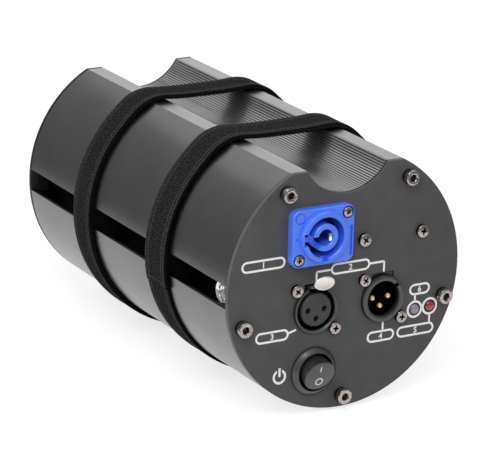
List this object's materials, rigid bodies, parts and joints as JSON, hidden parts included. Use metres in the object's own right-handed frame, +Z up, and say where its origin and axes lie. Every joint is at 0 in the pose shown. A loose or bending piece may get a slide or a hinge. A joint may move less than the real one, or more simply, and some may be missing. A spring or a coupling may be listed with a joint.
{
  "type": "dmx splitter",
  "caption": "Round aluminium signal splitter with a saddle notch for a truss tube, hook-and-loop straps, power inlet, rocker switch, and sockets for input, thru and outputs.",
  "frame": {"origin": "on the ground, under the middle of the tube", "axes": "+Y along the tube, from the front panel to the rear one; +Z up, out of the saddle notch; the front panel faces -Y"},
  "size_m": [0.1254, 0.2123, 0.116],
  "materials": {
    "tube_anodised": "satin dark grey anodised, drawn lengthwise",
    "panel_paint": "fine matt dark grey powder coat",
    "screw_nickel": "bright nickel plate, slightly warm",
    "inlet_blue": "satin moulded blue plastic",
    "contact_silver": "bright silver plate",
    "socket_black": "black moulded plastic",
    "insert_grey": "fine-grained dark grey plastic",
    "latch_metal": "pale satin nickel",
    "pin_gold": "gold plate",
    "lamp_grey": "hazy grey resin",
    "lamp_red": "clear red resin",
    "bracket_steel": "zinc-plated sheet steel",
    "board_green": "green lacquered circuit board",
    "converter_black": "potted black module",
    "strap_fabric": "charcoal woven hook-and-loop strap",
    "nut_chrome": "polished chrome plate",
    "print_white": "white screen print"
  },
  "bodies": {
    "body": {"board_bracket": "bracket_steel", "bracket_screw_1": "screw_nickel", "bracket_screw_2": "screw_nickel", "front_plate": "panel_paint", "front_plate_screw_1": "screw_nickel", "front_plate_screw_2": "screw_nickel", "front_plate_screw_3": "screw_nickel", "front_plate_screw_4": "screw_nickel", "front_plate_screw_5": "screw_nickel", "housing_extrusion": "tube_anodised", "input_socket_insert": "insert_grey", "input_socket_pin_1": "pin_gold", "input_socket_pin_2": "pin_gold", "input_socket_pin_3": "pin_gold", "input_socket_screw_1": "screw_nickel", "input_socket_screw_2": "screw_nickel", "input_socket_shell": "socket_black", "led_power": "lamp_red", "led_signal": "lamp_grey", "output_board": "board_green", "output_socket_1_insert": "insert_grey", "output_socket_1_shell": "socket_black", "output_socket_2_insert": "insert_grey", "output_socket_2_shell": "socket_black", "output_socket_3_insert": "insert_grey", "output_socket_3_shell": "socket_black", "output_socket_4_insert": "insert_grey", "output_socket_4_shell": "socket_black", "output_socket_5_insert": "insert_grey", "output_socket_5_shell": "socket_black", "output_socket_6_insert": "insert_grey", "output_socket_6_shell": "socket_black", "power_converter": "converter_black", "power_inlet_contact": "contact_silver", "power_inlet_housing": "inlet_blue", "power_inlet_screw_1": "screw_nickel", "power_inlet_screw_2": "screw_nickel", "rear_plate": "panel_paint", "rear_plate_screw_1": "screw_nickel", "rear_plate_screw_2": "screw_nickel", "rear_plate_screw_3": "screw_nickel", "rear_plate_screw_4": "screw_nickel", "rear_plate_screw_5": "screw_nickel", "splitter_board": "board_green", "strap_front": "strap_fabric", "strap_rear": "strap_fabric", "switch_bezel": "socket_black", "thru_socket_insert": "insert_grey", "thru_socket_screw_1": "screw_nickel", "thru_socket_screw_2": "screw_nickel", "thru_socket_shell": "socket_black"},
    "rocker": {"switch_rocker": "socket_black"},
    "slot_nut": {"slot_nut": "nut_chrome"},
    "thru_latch": {"thru_socket_latch": "latch_metal"},
    "output_latch_1": {"output_socket_1_latch": "latch_metal"},
    "output_latch_2": {"output_socket_2_latch": "latch_metal"},
    "output_latch_3": {"output_socket_3_latch": "latch_metal"},
    "output_latch_4": {"output_socket_4_latch": "latch_metal"},
    "output_latch_5": {"output_socket_5_latch": "latch_metal"},
    "output_latch_6": {"output_socket_6_latch": "latch_metal"}
  },
  "joints": [
    {"name": "rocker_tilt", "type": "hinge", "parent": "body", "child": "rocker", "pos_m": [-0.01493, -0.1005, 0.02089], "axis": [-1, 0, 0], "range_deg": [0, 20]},
    {"name": "slot_nut_slide", "type": "slide", "parent": "body", "child": "slot_nut", "axis": [0, 1, 0], "range_m": [-0.0014, 0.179]},
    {"name": "thru_latch_push", "type": "slide", "parent": "body", "child": "thru_latch", "axis": [0, 1, 0], "range_m": [0, 0.002], "stiffness_N_per_m": 600, "springref_m": -0.001},
    {"name": "output_latch_1_push", "type": "slide", "parent": "body", "child": "output_latch_1", "axis": [0, -1, 0], "range_m": [0, 0.002], "stiffness_N_per_m": 600, "springref_m": -0.001},
    {"name": "output_latch_2_push", "type": "slide", "parent": "body", "child": "output_latch_2", "axis": [0, -1, 0], "range_m": [0, 0.002], "stiffness_N_per_m": 600, "springref_m": -0.001},
    {"name": "output_latch_3_push", "type": "slide", "parent": "body", "child": "output_latch_3", "axis": [0, -1, 0], "range_m": [0, 0.002], "stiffness_N_per_m": 600, "springref_m": -0.001},
    {"name": "output_latch_4_push", "type": "slide", "parent": "body", "child": "output_latch_4", "axis": [0, -1, 0], "range_m": [0, 0.002], "stiffness_N_per_m": 600, "springref_m": -0.001},
    {"name": "output_latch_5_push", "type": "slide", "parent": "body", "child": "output_latch_5", "axis": [0, -1, 0], "range_m": [0, 0.002], "stiffness_N_per_m": 600, "springref_m": -0.001},
    {"name": "output_latch_6_push", "type": "slide", "parent": "body", "child": "output_latch_6", "axis": [0, -1, 0], "range_m": [0, 0.002], "stiffness_N_per_m": 600, "springref_m": -0.001}
  ]
}
